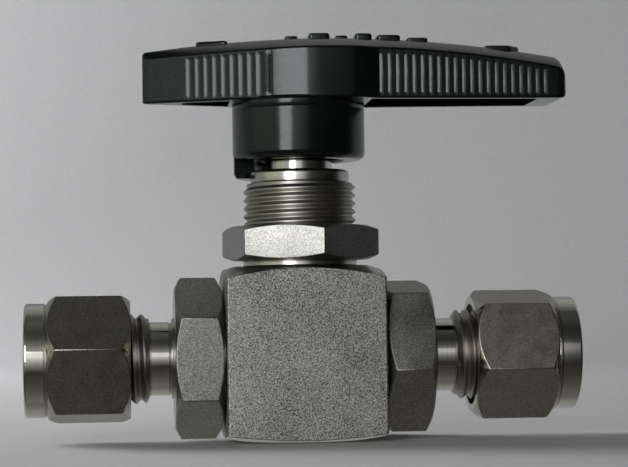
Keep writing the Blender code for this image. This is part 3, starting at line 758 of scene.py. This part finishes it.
def build_body():
    """Square block turned down to a neck, the bonnet thread and a collar with the stop pocket."""
    square = Polygon(4, BODY_WIDTH, 45.0, 0.25, flat_steps=22)
    pocket_radius, pocket_floor, first, last = STOP_POCKET
    sill = radians(0.05)
    ends = [radians(azimuth) + side for azimuth in (first, last) for side in (-sill, sill)]
    start = square.angles[0]
    angles = sorted(start + (angle - start) % (2.0 * pi) for angle in [*square.angles, *ends])

    def collar(radius, height, lift=0.0):
        def row(angle):
            in_pocket = radians(first) < angle % (2.0 * pi) < radians(last)
            return (pocket_radius, height) if in_pocket else (radius, height + lift)

        return row

    rounding = [collar(COLLAR_RADIUS - across, COLLAR_TOP - down) for across, down in quarter(COLLAR_ROUND)]
    limit = coned_ends(NECK_TOP, BONNET_TOP, *BONNET_LEAD)
    form = thread_form(BONNET_ROOT, BONNET_CREST)
    thread = Thread(NECK_TOP + 0.2, BONNET_TOP, BONNET_PITCH, form, limit)
    shoulder_radius, shoulder_top = SHOULDER_BORE
    packing_radius, packing_floor = PACKING_BORE
    groups = [
        (1, [(0.0, 0.0)]),
        (1, square.end(0.0, *BOTTOM_CONE, 1.0)),
        (0, reversed(square.end(BODY_HEIGHT, *TOP_CONE, -1.0)[1:])),
        (1, [(TOP_CONE[0], BODY_HEIGHT), (NECK_RADIUS, BODY_HEIGHT, 0.15), (NECK_RADIUS, NECK_TOP, 0.1)]),
        (2, [(BONNET_ROOT, NECK_TOP + 0.2), thread, (BONNET_ROOT, BONNET_TOP)]),
        (1, [collar(COLLAR_RADIUS - 0.12, BONNET_TOP + 0.02)]),
        (1, [collar(COLLAR_RADIUS, pocket_floor - 0.02), collar(COLLAR_RADIUS, pocket_floor, 0.04)]),
        (1, rounding),
        (1, [(packing_radius + 0.2, COLLAR_TOP), (packing_radius, COLLAR_TOP - 0.2)]),
        (1, [(packing_radius, packing_floor), (STEM_BORE_RADIUS, packing_floor)]),
        (1, [(STEM_BORE_RADIUS, shoulder_top), (shoulder_radius, shoulder_top)]),
        (1, [(shoulder_radius, FLOW_Z), (0.0, FLOW_Z)]),
    ]
    body = turned("body_shell", groups, (BLASTED, TURNED_Z, THREADED_Z), angles)
    chamber_radius, chamber_half = CHAMBER
    mouth = BODY_WIDTH / 2.0 + 1.0
    half = [(0.0, mouth), (SPIGOT_BORE_RADIUS, mouth), (SPIGOT_BORE_RADIUS, chamber_half)]
    half.append((chamber_radius, chamber_half))
    bore_rows = [(radius, -along) for radius, along in half] + half[::-1]
    bore = turned("bore_tool", [(0, bore_rows)], (TURNED_X,), matrix=port_matrix(90.0))
    cut(body, bore)
    place(body, "valve_body", "blasted_steel", "body")


def build_ball():
    lean = asin(FLOW_RADIUS / BALL_RADIUS)
    sphere = [(BALL_RADIUS * sin(a), -BALL_RADIUS * cos(a)) for a in spread(lean, pi - lean, 40)]
    ball = turned("flow_ball_finish", [(0, sphere)], (MIRROR_X,), matrix=port_matrix(90.0))
    width, floor = BALL_SLOT
    deep = 2.0 * BALL_RADIUS
    outline = rectangle(-width / 2.0, width / 2.0, -deep, deep)
    cut(ball, prism("slot_tool", outline, FLOW_Z + floor, FLOW_Z + deep))
    place(ball, "flow_ball", "polished_steel", "ball")


def build_stem():
    radius, low, high = STEM_SHOULDER
    rows = [
        (0.0, low), (radius, low, 0.1), (radius, high, 0.1), (STEM_RADIUS, high),
        (STEM_RADIUS, STEM_TOP, 0.2), (0.0, STEM_TOP),
    ]
    stem = turned("stem_finish", [(0, rows)], (MIRROR_Z,))
    thickness, width, bottom = STEM_TANG
    tang = rectangle(-thickness / 2.0, thickness / 2.0, -width / 2.0, width / 2.0)
    join(stem, prism("tang_tool", tang, bottom, (low + high) / 2.0))
    flat, flat_bottom = STEM_FLAT
    away = rectangle(-4.0, 4.0, flat, 4.0)
    cut(stem, prism("flat_tool", away, flat_bottom, STEM_TOP + 1.0))
    place(stem, "handle_assembly", "polished_steel", "stem")


def ring_rows(inner, outer, low, high, fillet=0.08):
    return [(inner, low, fillet), (outer, low, fillet), (outer, high, fillet), (inner, high, fillet)]


def coned_rows(low, high, inner, outer, thickness=0.3, fillet=0.08):
    """Belleville spring, its inner edge raised above its outer edge."""
    return [
        (outer, low, fillet), (outer, low + thickness, fillet), (inner, high, fillet),
        (inner, high - thickness, fillet),
    ]


def build_packing():
    outer = span("lower_packing", X)[1]
    rings = {
        "stem_thrust_washer": (PTFE, "white_ptfe", STEM_SHOULDER[0]),
        "lower_packing": (PTFE, "white_ptfe", outer),
        "upper_packing": (PTFE, "white_ptfe", outer),
        "packing_gland": (TURNED_Z, "machined_steel", outer),
    }
    for node, (material, slot, radius) in rings.items():
        place_turned(node, ring_rows(STEM_BORE_RADIUS, radius, *span(node, Z)), material, slot)
    for node in ("lower_disc_spring", "upper_disc_spring"):
        place_turned(node, coned_rows(*span(node, Z), STEM_BORE_RADIUS, outer), SPRING, "spring_steel")


def build_packing_bolt():
    """Round bolt with a hexagon head, which the hub hides."""
    low, high = span("packing_bolt", Z)
    across, hex_low = PACKING_BOLT_HEX
    hexagon = Polygon(6, across, 30.0, 0.15)
    rows = [
        (STEM_BORE_RADIUS, low), (PACKING_BOLT_RADIUS - 0.3, low),
        (PACKING_BOLT_RADIUS, low + 0.3), (PACKING_BOLT_RADIUS, hex_low - 0.15),
        (PACKING_BOLT_RADIUS - 0.15, hex_low),
        lambda angle: (hexagon.radius(angle) - 0.02, hex_low),
        *reversed(hexagon.end(high, across / 2.0 - 0.1, 30.0, -1.0)),
        (STEM_BORE_RADIUS + 0.15, high), (STEM_BORE_RADIUS, high - 0.15),
    ]
    place_turned("packing_bolt", rows, MIRROR_Z, "polished_steel", angles=hexagon.angles)


def build_panel_nut():
    low, high = span("panel_nut", Z)
    hexagon = Polygon(6, PANEL_NUT_HEX, PANEL_NUT_TURN - 90.0, 0.18)
    crest, root = (BONNET_CREST + gap for gap in PANEL_NUT_THREAD[:2])
    start, end = low + PANEL_NUT_THREAD[2], high - PANEL_NUT_THREAD[2]
    thread = Thread(start, end, BONNET_PITCH, thread_form(root, crest))
    groups = [
        (0, hexagon.block(low, high, *PANEL_NUT_CONE)),
        (1, [(root + 0.1, high), (crest, end), thread, (crest, start), (root + 0.1, low)]),
    ]
    nut = turned("panel_nut_finish", groups, (NUT_FLATS, THREADED_Z), hexagon.angles)
    place(nut, "panel_nut", "machined_steel", "panel_nut")


# ---- fittings


def seat_rows():
    """Ring with a hollow face that stays clear of the ball."""
    hollow = BALL_RADIUS + 0.3
    curve = [polar(hollow, a) for a in spread(acos(FLOW_RADIUS / hollow), asin(SEAT_FACE / hollow), 16)]
    back = [(SEAT_RADIUS, SEAT_FACE, 0.1), (SEAT_RADIUS, SEAT_BACK, 0.15), (FLOW_RADIUS, SEAT_BACK, 0.15)]
    return [*curve, *back]


def seal_rows():
    radius, height, cord = SEAL
    return [(radius + cord * cos(a), height + cord * sin(a)) for a in full_turn(24)]


def build_connector(side, matrix):
    """Spigot with its seal groove, hexagon, bright stub and male thread, over the tube socket."""
    name = f"{side}_end_connector"
    hexagon = Polygon(6, CONNECTOR_HEX, corner_on_port(name, side), 0.2)
    socket_radius, floor, cone, slope = SOCKET
    mouth = socket_radius + (MALE_END - cone) * tangent(slope)
    groove, groove_floor = SEAL_GROOVE
    start, end = CONNECTOR_SPAN
    limit = coned_ends(STUB_END, MALE_END, *MALE_LEAD)
    form = thread_form(MALE_ROOT, MALE_CREST)
    relief = STUB_RADIUS - 0.12
    groups = [
        (1, [(FLOW_RADIUS, SPIGOT_NOSE, 0.1), (SPIGOT_RADIUS, SPIGOT_NOSE, 0.2)]),
        (1, [(SPIGOT_RADIUS, groove, 0.05), (groove_floor, groove, 0.1), (groove_floor, start)]),
        (0, hexagon.block(start, end, *CONNECTOR_CONE)),
        (1, [(STUB_RADIUS + 0.5, end), (STUB_RADIUS + 0.35, end + 0.35)]),
        (1, [(relief, end + 0.4), (relief, end + 0.6), (STUB_RADIUS, end + 0.7)]),
        (3, [(STUB_RADIUS, STUB_END - 0.3)]),
        (1, [(MALE_ROOT - 0.5, STUB_END - 0.1)]),
        (2, [(MALE_ROOT - 0.1, STUB_END), Thread(STUB_END, MALE_END, FITTING_PITCH, form, limit)]),
        (1, [(MALE_ROOT, MALE_END), (mouth, MALE_END, 0.08), (socket_radius, cone)]),
        (1, [(socket_radius, floor, 0.1), (FLOW_RADIUS, floor, 0.1)]),
    ]
    materials = (CONNECTOR_FLATS, TURNED_X, THREADED_X, MIRROR_X)
    connector = turned(f"{name}_finish", groups, materials, hexagon.angles, matrix)
    place(connector, "valve_body", "machined_steel", name)


def build_tube_nut(side, matrix):
    """Hexagon nut with a round collar, over its thread, the ferrules' chamber and the tube's exit."""
    name = f"{side}_tube_nut"
    hexagon = Polygon(6, TUBE_NUT_HEX, corner_on_port(name, side), 0.16)
    chamber_radius, chamber_end = FERRULE_CHAMBER
    seat_depth = (chamber_radius - TUBE_EXIT_RADIUS) * tangent(FERRULE_SEAT_SLOPE)
    thread = Thread(NUT_START + 0.7, FEMALE_END - 0.5, FITTING_PITCH, thread_form(FEMALE_ROOT, FEMALE_CREST))
    collar = NUT_COLLAR_RADIUS
    inset, slope = TUBE_NUT_CONE
    face = hexagon.apothem - inset
    _, inner_cone, inner_edge = hexagon.end(NUT_START, face, slope, 1.0)
    _, outer_cone, outer_edge = hexagon.end(NUT_HEX_END, face, slope, -1.0)
    groups = [
        (2, [(FEMALE_ROOT, NUT_START)]),
        (1, [(face, NUT_START), inner_cone]),
        (0, [inner_edge, outer_edge]),
        (1, [outer_cone, (face, NUT_HEX_END)]),
        (1, [(collar - 0.12, NUT_HEX_END + 0.02), (collar - 0.12, NUT_HEX_END + 0.25)]),
        (3, [(collar, NUT_HEX_END + 0.37), (collar, NUT_END, 0.35), (TUBE_EXIT_RADIUS + 0.25, NUT_END)]),
        (3, [(TUBE_EXIT_RADIUS, NUT_END - 0.25), (TUBE_EXIT_RADIUS, chamber_end + seat_depth)]),
        (1, [(chamber_radius, chamber_end), (chamber_radius, FEMALE_END), (FEMALE_ROOT, FEMALE_END)]),
        (2, [(FEMALE_ROOT, FEMALE_END - 0.5), thread, (FEMALE_ROOT, NUT_START + 0.7)]),
    ]
    nut = turned(f"{name}_finish", groups, (BAR, TURNED_X, THREADED_X, MIRROR_X), hexagon.angles, matrix)
    place(nut, name, "machined_steel", name)


def build_fitting(side, turn):
    """Connector, nut, seat, springs, seal and ferrules of one port."""
    matrix = port_matrix(turn)
    build_connector(side, matrix)
    build_tube_nut(side, matrix)
    ferrules = f"{side}_ferrules"
    parts = [
        ("seat", seat_rows(), PTFE, "white_ptfe", "valve_body"),
        ("seat_spring", coned_rows(*SEAT_SPRING), SPRING, "spring_steel", "valve_body"),
        ("body_seal", seal_rows(), ELASTOMER, "black_elastomer", "valve_body"),
        ("front_ferrule", FRONT_FERRULE, MIRROR_X, "machined_steel", ferrules),
        ("back_ferrule", BACK_FERRULE, MIRROR_X, "machined_steel", ferrules),
    ]
    for part, rows, material, slot, body in parts:
        place_turned(f"{side}_{part}", rows, material, slot, body, matrix)


# ---- handle


def half_width(x):
    """Half the handle's width at a distance x from the stem: pointer, round middle or long arm."""
    first, growth = SIDE_LINE[0]
    if x < first:
        return growth * (x - POINTER_X + POINTER_OVERRUN)
    width = growth * (first - POINTER_X + POINTER_OVERRUN)
    for (start, growth), (end, next_growth) in zip(SIDE_LINE, SIDE_LINE[1:]):
        run = max(0.0, min(x, end) - start)
        width += run * (growth + 0.5 * (next_growth - growth) * run / (end - start))
    return width - ARM_TAPER * max(0.0, x - SIDE_LINE[-1][0])


def hill(x, peak):
    """Height at x of a line that falls away on both sides of its peak."""
    middle, height, left_fall, right_fall = peak
    fall = left_fall if x < middle else right_fall
    return height - fall * (x - middle) ** 2


def rib_stations():
    """Each station along the handle with the depth of its rib groove."""
    stations = {}
    for first, pitch, count, depth, profile in (LONG_ARM_RIBS, SHORT_ARM_RIBS):
        for rib in range(count):
            for share, dip in profile:
                stations[round(first + pitch * (rib + share), 4)] = dip * depth
        stations[round(first + pitch * count, 4)] = 0.0
    return stations


def handle_section(x, groove, inset=0.0):
    """Cross-section of the lever: rounded rim, ribbed side, rounded edge and arched crown."""
    width = half_width(x) - inset
    edge = hill(x, WALL_PEAK) - inset
    crown = hill(x, CROWN_PEAK) - inset
    rim = RIM_Z + 0.5 * inset
    edge_round = min(EDGE_ROUND, 0.6 * width)
    rim_round = min(0.2, 0.3 * width)
    corner = ((1.0, 0.0), (0.3, 0.3), (0.0, 1.0))
    half = [(width - back * rim_round, rim + rise * rim_round) for back, rise in corner]
    low, high = rim + 0.35, edge - edge_round - 0.1
    for share in (0.0, 0.03, 0.09, 0.5, 0.91, 0.97, 1.0):
        depth = groove if 0.05 < share < 0.95 else (0.55 * groove if 0.0 < share < 1.0 else 0.0)
        half.append((width - depth, low + (high - low) * share))
    slope = 2.0 * (crown - edge) / max(width - edge_round, 0.1)
    last = pi / 2.0 - atan(slope)
    for angle in spread(0.0, last, 5)[1:]:
        across = width - edge_round * (1.0 - cos(angle))
        half.append((across, edge - edge_round * (1.0 - sin(angle))))
    flat, top = half[-1]
    for share in (0.86, 0.70, 0.52, 0.34, 0.16):
        half.append((flat * share, top + (crown - top) * (1.0 - share**2)))
    other = [(-y, z) for y, z in reversed(half)]
    return [(x, y, z) for y, z in [*half, (0.0, crown), *other]]


def lever():
    """Loft through the stations, with both ends rounded."""
    stations = rib_stations()
    plain = [-18.2, -17.2, -16.0, -15.0, -14.4, 30.9, 31.2]
    plain += spread(SIDE_LINE[0][0], SIDE_LINE[-1][0], 24)
    for x in plain:
        stations.setdefault(round(x, 4), 0.0)
    ends = []
    for drop, back in quarter(1.0):
        ends.append((ARM_TIP_X - TIP_ROUND * back, 0.0, TIP_ROUND * drop))
        ends.append((POINTER_X + POINTER_ROUND * back, 0.0, POINTER_DROP * drop))
    everything = sorted([(x, groove, 0.0) for x, groove in stations.items()] + ends)
    return loft("handle_finish", [handle_section(*station) for station in everything], (NYLON,))


def sector(inner, outer, first, last, steps=16):
    """Outline of a piece of a ring between two azimuths."""
    angles = [radians(angle) for angle in spread(first, last, steps)]
    return [polar(outer, a) for a in angles] + [polar(inner, a) for a in reversed(angles)]


def raised_marks():
    """Tool that raises two arrows and a row of dashes from the crown."""
    marks = [(POINTER_ARROW, ARROW_HEIGHT), (ARM_ARROW, ARROW_HEIGHT)]
    for start, length, height in DASHES:
        marks.append((rectangle(start, start + length, -DASH_WIDTH / 2.0, DASH_WIDTH / 2.0), height))
    made = []
    for index, (outline, height) in enumerate(marks):
        middle = (min(x for x, _ in outline) + max(x for x, _ in outline)) / 2.0
        top = hill(middle, CROWN_PEAK) + height
        made.append(prism(f"mark_{index}", rounded(outline, 0.4), INSERT_TOP + 1.0, top, edge=0.2))
    return merge("marks_tool", made)


def arm_cavity(first, last, side):
    """Tool for the hollow between the web and one side wall."""
    outer = [(x, side * (half_width(x) - SHELL_WALL)) for x in spread(first, last, 12)]
    inner = [(last, side * SHELL_WEB / 2.0), (first, side * SHELL_WEB / 2.0)]
    return prism("cavity_tool", outer + inner, HUB_CAVITY[1], SHELL_CEILING)


def web_recess(first, last):
    """Tool that keeps the web's lower edge above the rim."""
    half = SHELL_WEB / 2.0 + 0.1
    return prism("web_tool", rectangle(first, last, -half, half), HUB_CAVITY[1], WEB_BOTTOM)


def screw_matrix():
    """Lays a piece's own Z axis along +Y at the set screw's height."""
    return Matrix.Translation((0.0, 0.0, SCREW_Z)) @ Matrix.Rotation(radians(-90.0), 4, "X")


def screw_hole(start, end):
    """Tool for the hole that the set screw goes through."""
    rows = [(0.0, start), (SCREW_HOLE_RADIUS, start), (SCREW_HOLE_RADIUS, end), (0.0, end)]
    return turned("screw_hole_tool", [(0, rows)], matrix=screw_matrix())


def build_handle():
    """Lever and hub in one moulding, hollow below, with the stop tab and the raised marks."""
    handle = lever()
    cavity_radius, cavity_top = HUB_CAVITY
    hub_rows = [
        (0.0, HUB_BOTTOM), (HUB_RADIUS, HUB_BOTTOM, HUB_ROUND),
        (HUB_RADIUS, PARTING_LINE - 0.04), (HUB_RADIUS - 0.02, PARTING_LINE),
        (HUB_RADIUS, PARTING_LINE + 0.04), (HUB_RADIUS, HUB_TOP, HUB_ROUND), (0.0, HUB_TOP),
    ]
    join(handle, turned("hub_tool", [(0, hub_rows)]))
    inner, outer, bottom, first, last = STOP_TAB
    outline = sector(inner, outer, -last, -first)
    upside_down = Matrix.Rotation(pi, 4, "X")
    tab = prism("tab_tool", outline, -(HUB_BOTTOM + 1.5), -bottom, matrix=upside_down, edge=0.5)
    join(handle, tab)
    join(handle, raised_marks())
    rim = INSERT_RADIUS + 0.3
    hollow_rows = [
        (0.0, HUB_BOTTOM - 1.0), (cavity_radius + 0.3, HUB_BOTTOM - 1.0),
        (cavity_radius + 0.3, HUB_BOTTOM), (cavity_radius, HUB_BOTTOM + 0.3),
        (cavity_radius, cavity_top), (rim, cavity_top), (rim, INSERT_TOP + 0.3),
        (0.0, INSERT_TOP + 0.3),
    ]
    cut(handle, turned("hollow_tool", [(0, hollow_rows)]))
    cut(handle, screw_hole(INSERT_RADIUS - 1.0, HUB_RADIUS + 1.0))
    for low, high in CAVITIES:
        for side in (-1.0, 1.0):
            cut(handle, arm_cavity(low, high, side))
        cut(handle, web_recess(low, high))
    place(handle, "handle_assembly", "black_nylon", "handle", sharp=32.0)


def build_insert():
    """Brass bush with a flat in its bore and a hole for the set screw."""
    low, high = span("handle_insert", Z)
    rows = [(0.0, low), (INSERT_RADIUS, low, 0.2), (INSERT_RADIUS, high, 0.2), (0.0, high)]
    insert = turned("handle_insert_finish", [(0, rows)], (BRASS,))
    flat = asin(INSERT_FLAT / STEM_BORE_RADIUS)
    outline = [polar(STEM_BORE_RADIUS, a) for a in spread(pi - flat, 2.0 * pi + flat, 48)]
    cut(insert, prism("insert_bore_tool", outline, low - 1.0, high + 1.0))
    cut(insert, screw_hole(0.7, INSERT_RADIUS + 1.0))
    place(insert, "handle_assembly", "brass", "handle_insert")


def build_set_screw():
    """Headless screw with a hexagon socket in its outer end."""
    first, last = SCREW_SPAN
    across, depth, middle_depth = SCREW_SOCKET
    hexagon = Polygon(6, across, 0.0, 0.04, 4, 2)
    thread_depth, pitch = SCREW_THREAD
    root = SCREW_RADIUS - thread_depth
    start, end = first + 0.3, last - 0.25
    rows = [
        (0.0, first + 0.1), (root - 0.3, first), (root, start),
        Thread(start, end, pitch, thread_form(root, SCREW_RADIUS)),
        (root, end), (root - 0.15, last),
        lambda angle: (hexagon.radius(angle), last),
        lambda angle: (hexagon.radius(angle), last - depth),
        (0.0, last - middle_depth),
    ]
    where = ("handle_assembly", screw_matrix(), hexagon.angles)
    place_turned("handle_set_screw", rows, SPRING, "spring_steel", *where)


# ---- studio


def build_stage():
    """Round pale floor that curves up into a wall. It isn't seen in the metal, whose studio is the world."""
    wall = FLOOR_RADIUS + COVE_RADIUS
    cove = [(wall - back, rise) for rise, back in quarter(COVE_RADIUS, 15)]
    rows = [(0.0, 0.0), (FLOOR_RADIUS * 0.5, 0.0), *cove, (wall, WALL_TOP)]
    bm = bmesh.new()
    rings = [ring_at(bm, row, full_turn(128)) for row in rows]
    for ring, following in zip(rings, rings[1:]):
        bridge(bm, ring, following, 0)
    finish = Finish("paper_backdrop", (0.48, 0.48, 0.49), 0.85)
    fibres = finish.noise(1.6, 4.0)
    finish.colour(fibres, (0.46, 0.465, 0.475), (0.50, 0.50, 0.51))
    finish.bump(fibres, 0.02, 0.3)
    stage = piece("backdrop", bm, (finish.material,), Matrix.Translation((0.0, 0.0, -0.05)))
    stage.data.shade_smooth()
    stage.visible_glossy = False
    stage.visible_shadow = False


def area_light(name, position, target, size, radiance, colour, in_reflections=True):
    """Soft box at a position, facing its target."""
    data = bpy.data.lights.new(name, "AREA")
    data.shape = "RECTANGLE"
    data.size = size[0] * MM
    data.size_y = size[1] * MM
    data.energy = radiance * pi * data.size * data.size_y
    data.color = colour
    light = add_object(name, data)
    light.location = Vector(position) * MM
    light.rotation_euler = (Vector(target) - Vector(position)).to_track_quat("-Z", "Y").to_euler()
    light.visible_camera = False
    light.visible_glossy = in_reflections


def build_lights():
    area_light("window", *WINDOW)
    area_light("floor_light", *FLOOR_LIGHT, in_reflections=False)
    area_light("wall_light", *WALL_LIGHT, in_reflections=False)


def build_world():
    """Surroundings that the metal reflects: the band and glow in front, the paper behind."""
    world = bpy.data.worlds.new("studio")
    bpy.context.scene.world = world
    world.use_nodes = True
    tree = world.node_tree

    def node(kind, *sources, **settings):
        """New node with its first inputs linked to sources or set to numbers."""
        made = tree.nodes.new(kind)
        for key, value in settings.items():
            setattr(made, key, value)
        inputs = [slot for slot in made.inputs if slot.enabled]
        for slot, source in zip(inputs, sources):
            if isinstance(source, float):
                slot.default_value = source
            else:
                tree.links.new(source, slot)
        return made

    def ramp(angle, stops):
        """Colour ramp over an angle in turns, its stops as (degrees, grey or red, green and blue)."""
        made = node("ShaderNodeValToRGB", node("ShaderNodeMath", angle, 0.5, operation="ADD").outputs[0])
        elements = made.color_ramp.elements
        while len(elements) < len(stops):
            elements.new(0.5)
        for element, (degrees, *colour) in zip(elements, stops):
            element.position = degrees / 360.0 + 0.5
            element.color = (*(colour if len(colour) == 3 else colour * 3), 1.0)
        return made.outputs["Color"]

    def blend(kind, factor, one, other):
        return node("ShaderNodeMix", factor, one, other, data_type="RGBA", blend_type=kind).outputs[2]

    def turns(angle):
        return node("ShaderNodeMath", angle, 2.0 * pi, operation="DIVIDE").outputs[0]

    direction = node("ShaderNodeSeparateXYZ", node("ShaderNodeTexCoord").outputs["Generated"])
    east, north, up = direction.outputs
    front = node("ShaderNodeMath", north, -1.0, operation="MULTIPLY").outputs[0]
    azimuth = turns(node("ShaderNodeMath", east, front, operation="ARCTAN2").outputs[0])
    elevation = turns(node("ShaderNodeMath", up, operation="ARCSINE").outputs[0])
    band = blend("MULTIPLY", 1.0, ramp(azimuth, BAND), ramp(elevation, BAND_SHARE))
    ahead = blend("ADD", 1.0, band, ramp(elevation, GLOW))
    behind = node("ShaderNodeMapRange", north, 0.05, 0.5, 0.0, 1.0, interpolation_type="SMOOTHSTEP")
    lit = blend("MIX", behind.outputs["Result"], ahead, ramp(elevation, PAPER))
    tree.links.new(lit, tree.nodes["Background"].inputs["Color"])


def build_camera():
    data = bpy.data.cameras.new("camera")
    data.lens = LENS
    data.sensor_width = 36.0
    data.clip_start = 0.005
    data.clip_end = 20.0
    camera = add_object("camera", data)
    camera.location = Vector(CAMERA_PLACE) * MM
    heading = Matrix.Rotation(radians(-CAMERA_HEADING), 4, "Z")
    pitch = Matrix.Rotation(radians(90.0 + CAMERA_PITCH), 4, "X")
    roll = Matrix.Rotation(radians(CAMERA_ROLL), 4, "Z")
    camera.rotation_euler = (heading @ pitch @ roll).to_euler()
    bpy.context.scene.camera = camera


build_body()
build_ball()
build_stem()
build_packing()
build_packing_bolt()
build_panel_nut()
for side, turn in PORT_TURNS.items():
    build_fitting(side, turn)
build_handle()
build_insert()
build_set_screw()
build_stage()
build_lights()
build_world()
build_camera()
bpy.context.scene.view_settings.view_transform = "Standard"

bpy.context.view_layer.update()
